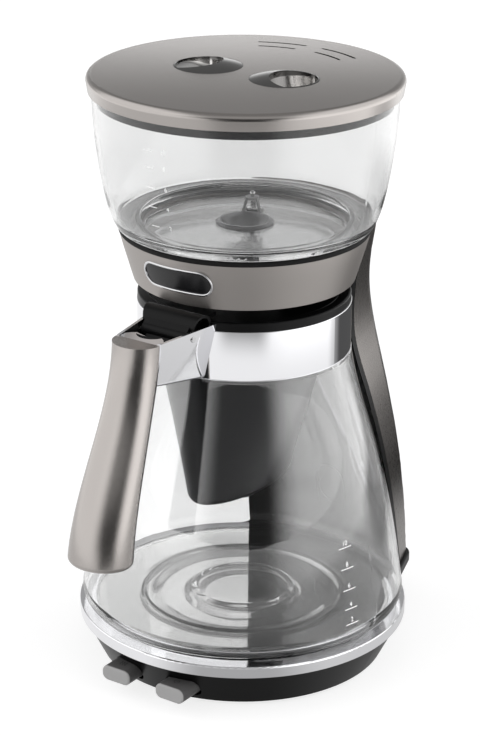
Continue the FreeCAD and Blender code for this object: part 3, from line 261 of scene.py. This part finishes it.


# The end faces of the keys are matt and paler than their sides; this split between a pale end face and dark
# sides is painted light and shade
def keyPaintedLightAndShade(name, frontAt):
    f = Finish(name)
    grain = f.noise(f.places(), 1300, 3, 0.6)
    # painted light and shade: the end face gets the pale grey, the sides the dark grey
    face = 1.0 - f.axis(1).between(frontAt + 0.0004, frontAt + 0.0016)
    tone = f.blend(face, (0.115, 0.113, 0.113, 1), (0.50, 0.495, 0.495, 1))
    return f.surface({"Base Color": tone, "Roughness": 0.5 + (grain - 0.5) * 0.1,
                      "Normal": f.bump(grain, 0.08, 0.0003), "Specular IOR Level": 0.3})


# Print colour; a glow above zero is painted light, the print shining like a lamp
def enamel(name, colour, glow):
    f = Finish(name)
    grain = f.noise(f.places(), 1800, 2)
    return f.surface({"Base Color": colour, "Roughness": 0.45 + (grain - 0.5) * 0.2,
                      "Alpha": 0.86 + grain * 0.1, "Emission Color": grey(1.0), "Emission Strength": glow})


titanium = (0.40, 0.375, 0.358)
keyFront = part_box("button_left")[0].y
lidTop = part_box("lid_cover")[1].z
lidCrown = {"radius": 0.097, "rise": 0.0042, "unit": 0.0002, "grain": 0.05}
jugCoat = {"from": 0.045, "to": 0.12, "least": 0.08, "most": 0.85}
plateRings = [(0.0585, 0.0095, 3.6), (0.0300, 0.0085, 4.0)]
deckRings = [(0.0620, 0.0070, 5.0)]
finishes = {
    "satin_metal": satinMetal("satinTitanium", titanium, 0.30),
    "chrome": polishedMetal("polishedChrome", (0.86, 0.86, 0.88), 0.03),
    "steel": polishedMetal("brightSteel", (0.62, 0.62, 0.615), 0.05),
    "spring_steel": polishedMetal("drawnSteel", (0.55, 0.55, 0.55), 0.25),
    "tank_glass": clearGlass("tankGlass", (0.84, 0.842, 0.842, 1)),
    "jug_glass": clearGlass("jugGlass", (0.985, 0.987, 0.987, 1), jugCoat),
    "black_plastic": mouldedPlastic("blackPlastic", (0.004, 0.004, 0.0043), 0.36, gloss=0.16),
    "smoky_plastic": mouldedPlastic("smokyPlastic", (0.020, 0.020, 0.022), 0.30, 900, 0.02, 0.3),
    "grey_plastic": keyPaintedLightAndShade("greyPlastic", keyFront),
    "silver_plastic": satinMetal("silverLacquer", (0.62, 0.62, 0.62), 0.30),
    "rubber": mouldedPlastic("rubber", (0.010, 0.010, 0.010), 0.7, 700, 0.1, 0.2),
    "cast_aluminium": satinMetal("extrudedAluminium", (0.70, 0.71, 0.72), 0.4),
    "thermal_parts": mouldedPlastic("thermalParts", (0.08, 0.08, 0.09), 0.5),
    "circuit_board": mouldedPlastic("circuitBoard", (0.03, 0.12, 0.06), 0.35),
    "silicone": mouldedPlastic("milkySilicone", (0.62, 0.62, 0.60), 0.5),
}
# The grips' finish carries painted shade on the hood and painted light in the finger pocket
paintedGripLightAndShade = gripMetal("paintedGripLightAndShade", lidTop)
special = {
    "lid_grip_left": paintedGripLightAndShade,
    "lid_grip_right": paintedGripLightAndShade,
    "lid_cover": crownedMetal("lidTitanium", titanium, 0.24, lidCrown),
    "sump_cup": smokyGlass("smokyCup", (0.50, 0.50, 0.51, 1)),
    "handle_shell": satinMetal("brushedTitanium", titanium, 0.24, (1, 1, 0.02), 0.16),
    # the column's titanium is a darker copy of the lid's, painted shade
    "column_shell": satinMetal("brushedColumnPaintedShade", (0.27, 0.253, 0.242), 0.28, (1, 1, 0.02), 0.01),
    "hotplate": pressedSteel("mirrorPlate", (0.56, 0.56, 0.555), 0.04, plateRings),
    "collar_deck": pressedSteel("brightDeck", (0.97, 0.97, 0.97), 0.12, deckRings),
    "collar_shell": satinMetal("collarTitanium", titanium, 0.46, (1, 1, 12), 0.05),
    "drip_stop": mouldedPlastic("dripStopPlastic", (0.05, 0.05, 0.052), 0.4),
    "valve_guide": mouldedPlastic("paleGuide", (0.45, 0.45, 0.45), 0.35),
}


def dressNodes():
    for part in frame["record"]["subparts"]:
        piece = nodes[part["node"]]
        piece.data.materials.clear()
        piece.data.materials.append(special.get(part["node"], finishes[part["material_slot"]]))


# Fittings that lie on the solids, each wrapped round an upright side given as radius by height
collarSide = [(0.0670, 0.2459), (0.0691, 0.2530), (0.0710, 0.2595), (0.0732, 0.2670), (0.0753, 0.2750)]
tankSide = [(0.0803, 0.286), (0.0839, 0.299), (0.0872, 0.3175), (0.0896, 0.338), (0.0908, 0.363)]
jugSide = [(0.1000, 0.045), (0.0979, 0.060), (0.0937, 0.0855), (0.0885, 0.111), (0.0819, 0.136)]


def radiusOn(side, z):
    for (lowR, lowZ), (highR, highZ) in zip(side, side[1:]):
        if z <= highZ:
            break
    return lowR + (highR - lowR) * (z - lowZ) / (highZ - lowZ)


# Point on a side, across metres round it from an angle in degrees to the right of the front
def wrapped(side, middle, across, z, lift):
    r = radiusOn(side, z)
    angle = math.radians(middle) + across / r
    return Vector(((r + lift) * math.sin(angle), axisY - (r + lift) * math.cos(angle), z))


def newPiece(name, mesh, finish, body):
    piece = bpy.data.objects.new(name, mesh)
    bpy.context.scene.collection.objects.link(piece)
    piece.data.materials.clear()
    piece.data.materials.append(finish)
    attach(piece, body)
    return piece


def asMesh(name, drawn):
    data = bpy.data.meshes.new(name)
    drawn.to_mesh(data)
    drawn.free()
    return data


badge = {
    "middle": 0.4, "z": 0.2620, "halfLength": 0.0245, "halfHeight": 0.0081,
    "rim": [(0.0, -0.0003), (0.0, 0.0008), (0.0004, 0.0012), (0.0011, 0.0012), (0.0015, 0.0008),
            (0.0015, 0.0002)],
    "inlay": [(0.0014, 0.0004), (0.0030, 0.0005), (0.0050, 0.0005), (0.0070, 0.0005), (0.00805, 0.0005)],
}


# Outline of a bar with round ends, drawn in by the inset
def capsule(halfLength, halfHeight, inset, steps=16):
    bend = halfHeight - inset
    straight = halfLength - halfHeight
    points = []
    for side in (1, -1):
        for k in range(steps + 1):
            a = math.pi * k / steps - math.pi / 2
            points.append((side * (straight + bend * math.cos(a)), side * bend * math.sin(a)))
        for k in range(1, steps):
            points.append((side * straight * (1 - 2 * k / steps), side * bend))
    return points


def wrappedBar(name, profile, finish, filled):
    mesh = bmesh.new()
    rings = []
    for inset, lift in profile:
        ring = [mesh.verts.new(wrapped(collarSide, badge["middle"], x, badge["z"] + y, lift))
                for x, y in capsule(badge["halfLength"], badge["halfHeight"], inset)]
        rings.append(ring)
    for outer, inner in zip(rings, rings[1:]):
        for k in range(len(outer)):
            nextK = (k + 1) % len(outer)
            mesh.faces.new((outer[k], outer[nextK], inner[nextK], inner[k]))
    if filled:
        bmesh.ops.triangulate(mesh, faces=[mesh.faces.new(rings[-1])])
    bmesh.ops.recalc_face_normals(mesh, faces=mesh.faces)
    data = asMesh(name, mesh)
    for face in data.polygons:
        face.use_smooth = True
    return newPiece(name, data, finish, "base")


# Lays a flat mesh drawn in XY on the side that the place names
def wrappedMesh(name, mesh, place, finish, body):
    for vert in mesh.vertices:
        vert.co = wrapped(place["side"], place["middle"], vert.co.x, place["z"] + vert.co.y, place["lift"])
    mesh.update()
    return newPiece(name, mesh, finish, body)


def strip(name, halfLength, halfHeight, columns=12):
    mesh = bmesh.new()
    rows = [[mesh.verts.new((halfLength * (2 * k / columns - 1), side * halfHeight, 0))
             for k in range(columns + 1)] for side in (-1, 1)]
    for k in range(columns):
        mesh.faces.new((rows[0][k], rows[0][k + 1], rows[1][k + 1], rows[1][k]))
    return asMesh(name, mesh)


lettering = {"tall": 0.7, "bends": 4}       # height of a digit as a share of the text size, steps per curve


def numeral(name, words, height):
    bpy.ops.object.select_all(action="DESELECT")
    bpy.ops.object.text_add(location=(0, 0, 0))
    letters = bpy.context.object
    letters.data.body = words
    letters.data.size = height / lettering["tall"]
    letters.data.align_x = "CENTER"
    letters.data.resolution_u = lettering["bends"]
    bpy.ops.object.convert(target="MESH")
    mesh = bpy.context.object.data.copy()
    bpy.ops.object.delete()
    mesh.name = name
    return mesh


marks = {
    "jug": {"side": jugSide, "body": "jug", "lift": 0.00006, "middle": 76.4, "halfLength": 0.0050,
            "halfHeight": 0.00028, "height": 0.0030, "gap": 0.0012, "shift": 0.0,
            "rows": [("10", 0.0960), ("8", 0.0831), ("6", 0.0700), ("4", 0.0582), ("2", 0.0486)]},
    "tank": {"side": tankSide, "body": "tank", "lift": 0.00006, "middle": -3.1, "halfLength": 0.0028,
             "halfHeight": 0.00025, "height": 0.0026, "gap": -0.0010, "shift": 0.0104,
             "rows": [("10", 0.3431), ("8", 0.3329), ("6", 0.3206), ("4", 0.3085), ("2", 0.2965)]},
}


def printMarks():
    for name, run in marks.items():
        for words, z in run["rows"]:
            place = {"side": run["side"], "middle": run["middle"], "z": z, "lift": run["lift"]}
            tick = strip(name + "Tick" + words, run["halfLength"], run["halfHeight"])
            wrappedMesh(name + "Tick" + words, tick, place, whiteEnamelPaintedGlow, run["body"])
            label = numeral(name + "Numeral" + words, words, run["height"])
            for vert in label.vertices:
                vert.co.x += run["shift"]
                vert.co.y += run["gap"]
            wrappedMesh(name + "Numeral" + words, label, place, whiteEnamelPaintedGlow, run["body"])


# Flat band of a set half width along a line in XY
def ribbon(points, half):
    mesh = bmesh.new()
    rows = []
    for k, (x, y) in enumerate(points):
        ahead = points[min(k + 1, len(points) - 1)]
        behind = points[max(k - 1, 0)]
        along = Vector((ahead[0] - behind[0], ahead[1] - behind[1])).normalized()
        rows.append([mesh.verts.new((x - side * along.y * half, y + side * along.x * half, 0))
                     for side in (-1, 1)])
    for first, second in zip(rows, rows[1:]):
        mesh.faces.new((first[0], second[0], second[1], first[1]))
    return mesh


icons = {
    "half": 0.00022,                        # half the width of a printed line
    "back": 0.0085,                         # from a key's end face to the middle of its mark
    "lift": 0.00004,
    "waves": {"at": [-0.0017, 0.0, 0.0017], "sway": 0.0005, "turn": 0.9, "low": -0.0021, "tall": 0.0042,
              "steps": 14},
    "ring": {"radius": 0.0017, "opening": 0.17, "steps": 24, "stem": 0.0004},   # opening in half turns
}


def keyMark(name, body, lines):
    low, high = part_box(body)
    middle = (low.x + high.x) / 2
    joined = bmesh.new()
    for line in lines:
        data = asMesh(name, ribbon(line, icons["half"]))
        joined.from_mesh(data)
        bpy.data.meshes.remove(data)
    for vert in joined.verts:
        vert.co = Vector((vert.co.x + middle, vert.co.y + low.y + icons["back"], high.z + icons["lift"]))
    return newPiece(name, asMesh(name, joined), darkEnamel, body)


def waveLine(x):
    wave = icons["waves"]
    return [(x + wave["sway"] * math.sin(k * wave["turn"]), wave["low"] + wave["tall"] * k / wave["steps"])
            for k in range(wave["steps"] + 1)]


def ringLine():
    ring = icons["ring"]
    sweep = 2 - 2 * ring["opening"]
    points = []
    for k in range(ring["steps"] + 1):
        a = math.pi * (0.5 + ring["opening"] + sweep * k / ring["steps"])
        points.append((ring["radius"] * math.cos(a), ring["radius"] * math.sin(a)))
    return points


def printIcons():
    keyMark("warmMark", "button_left", [waveLine(x) for x in icons["waves"]["at"]])
    stem = [(0, 0), (0, icons["ring"]["radius"] + icons["ring"]["stem"])]
    keyMark("powerMark", "button_right", [ringLine(), stem])


# the white print glows with painted light, the dark print does not
whiteEnamelPaintedGlow = enamel("whiteEnamelPaintedGlow", (0.80, 0.80, 0.80, 1), 0.55)
darkEnamel = enamel("darkEnamel", (0.03, 0.03, 0.03, 1), 0.0)
badgeMetal = polishedMetal("badgeMetal", (0.66, 0.66, 0.67), 0.12)
badgeInlay = mouldedPlastic("badgeInlay", (0.010, 0.010, 0.011), 0.25, 900, 0.03, 0.4)


def addFittings():
    wrappedBar("badgeRim", badge["rim"], badgeMetal, False)
    wrappedBar("badgeInlay", badge["inlay"], badgeInlay, True)
    printMarks()
    printIcons()


# Studio
towardCamera = Vector((0.566, -0.824, 0))
toTheRight = Vector((0.824, 0.566, 0))
studio = {
    "floorSize": 16.0,
    "floorWhite": 0.80,
    "plainSeen": 0.45,                      # share of plain white that the camera sees in the floor
    "plainStrength": 1.72,
    "mirrorShare": 0.95,                    # the same share where metal sees the floor
    "bounces": (1.1, 1.9),                  # between one bounce and two, besides those through glass
}

# The floor as metal sees it: pairs named fromOut and toOut are metres out from the middle, and the other
# pairs are cosines of a direction
floorZones = {
    "open": 1.0,
    "turn": (0.25, 0.8),
    # the zone close to the machine is a painted shadow on the floor, seen only in reflections
    "paintedNearShadow": {"drop": 0.58, "toOut": (0.22, 0.5), "left": 0.9, "right": 0.45},
    "far": {"drop": 0.95, "front": (0.86, 0.98), "fromOut": (0.60, 0.72)},
    "rear": {"drop": 0.94, "back": (0.1, 0.5), "side": (-0.1, 0.3),
             "fromOut": (0.25, 0.4), "toOut": (0.75, 1.1)},
    "right": {"gain": 1.0, "fromOut": (0.55, 0.85)},
    "left": {"gain": 0.5, "fromOut": (0.8, 1.1)},
}

# The sky by direction: every pair is the cosine where a zone starts or stops
skyZones = {
    "base": 0.05,
    "wings": {"gain": 1.35, "side": (0.34, 0.78), "toBack": (0.45, 0.8)},
    "back": {"gain": 0.32, "back": (0.4, 0.85)},
    "backLow": {"gain": 1.0, "toRise": (0.02, 0.34), "toSide": (0.0, 0.3), "sideDrop": 0.8},
    "backInside": {"gain": 0.75, "toRise": (0.5, 0.66)},    # only seen through glass
    "above": {"gain": 0.3, "rise": (0.55, 0.95), "insideDrop": 0.85},
    "right": {"gain": 0.45, "side": (0.25, 0.8), "toRise": (0.0, 0.3)},
    "ahead": {"gain": 0.5, "front": (0.3, 0.8), "rise": (0.16, 0.42)},
}


def floorInMetal(f):
    here = f.places()
    forward = f.along(here, towardCamera)
    sideways = f.along(here, toTheRight)
    out = (forward * forward + sideways * sideways) ** 0.5
    front, side = forward / out, sideways / out
    left = (0.0 - side).between(*floorZones["turn"])
    right = side.between(*floorZones["turn"])
    # painted shadow: the floor round the machine darkens in what metal reflects
    zone = floorZones["paintedNearShadow"]
    paintedNearShadow = (1.0 - out.between(*zone["toOut"])) * (1.0 - left * zone["left"] - right * zone["right"])
    zone = floorZones["far"]
    far = front.between(*zone["front"]) * out.between(*zone["fromOut"])
    zone = floorZones["rear"]
    rear = (0.0 - front).between(*zone["back"]) * side.between(*zone["side"]) \
        * out.between(*zone["fromOut"]) * (1.0 - out.between(*zone["toOut"]))
    right = right * out.between(*floorZones["right"]["fromOut"]) * (1.0 - rear)
    left = left * out.between(*floorZones["left"]["fromOut"])
    return floorZones["open"] - paintedNearShadow * floorZones["paintedNearShadow"]["drop"] - far * floorZones["far"]["drop"] \
        - rear * floorZones["rear"]["drop"] + right * floorZones["right"]["gain"] \
        + left * floorZones["left"]["gain"]


def buildFloor():
    bpy.ops.object.select_all(action="DESELECT")
    bpy.ops.mesh.primitive_plane_add(size=studio["floorSize"], location=(0, 0, 0))
    floor = bpy.context.object
    floor.name = "studioFloor"
    f = Finish("floorPaper")
    through = f.ray("Is Transmission Ray")
    glossy = f.ray("Is Glossy Ray") * (1.0 - through)
    strength = glossy * floorInMetal(f) + (1.0 - glossy) * studio["plainStrength"]
    seen = (f.ray("Is Camera Ray") + glossy + through).maths("MINIMUM", 1.0) * studio["plainSeen"]
    share = seen + glossy * (studio["mirrorShare"] - studio["plainSeen"])
    paper = f.node("ShaderNodeBsdfDiffuse", {}, {"Color": grey(studio["floorWhite"])})
    plain = f.node("ShaderNodeEmission", {}, {"Color": grey(1.0), "Strength": strength})
    mixed = f.node("ShaderNodeMixShader", {}, {0: share, 1: paper, 2: plain})
    f.node("ShaderNodeOutputMaterial", {}, {"Surface": mixed})
    floor.data.materials.append(f.data)


def skyLevel(f, through):
    way = f.node("ShaderNodeTexCoord", {}, {}, "Generated")
    front = f.along(way, towardCamera)
    side = f.along(way, toTheRight)
    rise = f.along(way, (0.0, 0.0, 1.0))
    back = 0.0 - front
    zone = skyZones["wings"]
    wings = abs(side).between(*zone["side"]) * (1.0 - back.between(*zone["toBack"])) * zone["gain"]
    zone = skyZones["backLow"]
    middle = 1.0 - abs(side).between(*zone["toSide"]) * zone["sideDrop"]
    low = (1.0 - rise.between(*zone["toRise"])) * middle * zone["gain"]
    zone = skyZones["backInside"]
    inside = through * (1.0 - rise.between(*zone["toRise"])) * zone["gain"]
    zone = skyZones["back"]
    behind = back.between(*zone["back"]) * (zone["gain"] + low + inside)
    zone = skyZones["above"]
    above = rise.between(*zone["rise"]) * (1.0 - through * zone["insideDrop"]) * zone["gain"]
    zone = skyZones["right"]
    right = side.between(*zone["side"]) * (1.0 - rise.between(*zone["toRise"])) * zone["gain"]
    zone = skyZones["ahead"]
    ahead = front.between(*zone["front"]) * rise.between(*zone["rise"]) * zone["gain"]
    return skyZones["base"] + wings + behind + above + right + ahead


def buildWorld():
    world = bpy.data.worlds.new("studioWorld")
    bpy.context.scene.world = world
    f = Finish("studioWorld", world)
    through = f.ray("Is Transmission Ray")
    dome = f.node("ShaderNodeBackground", {}, {"Color": grey(1.0), "Strength": skyLevel(f, through)})
    seen = f.node("ShaderNodeBackground", {}, {"Color": grey(1.0), "Strength": 1.0})
    bounces = f.ray("Ray Depth") - f.ray("Transmission Depth")
    onlyGlass = 1.0 - bounces.between(*studio["bounces"])
    plain = f.ray("Is Camera Ray") + through * onlyGlass
    mixed = f.node("ShaderNodeMixShader", {}, {0: plain, 1: dome, 2: seen})
    f.node("ShaderNodeOutputWorld", {}, {"Surface": mixed})


setCamera()
dressNodes()
addFittings()
buildFloor()
buildWorld()
bpy.context.scene.view_settings.view_transform = "Standard"
print("studio and finishes ready")
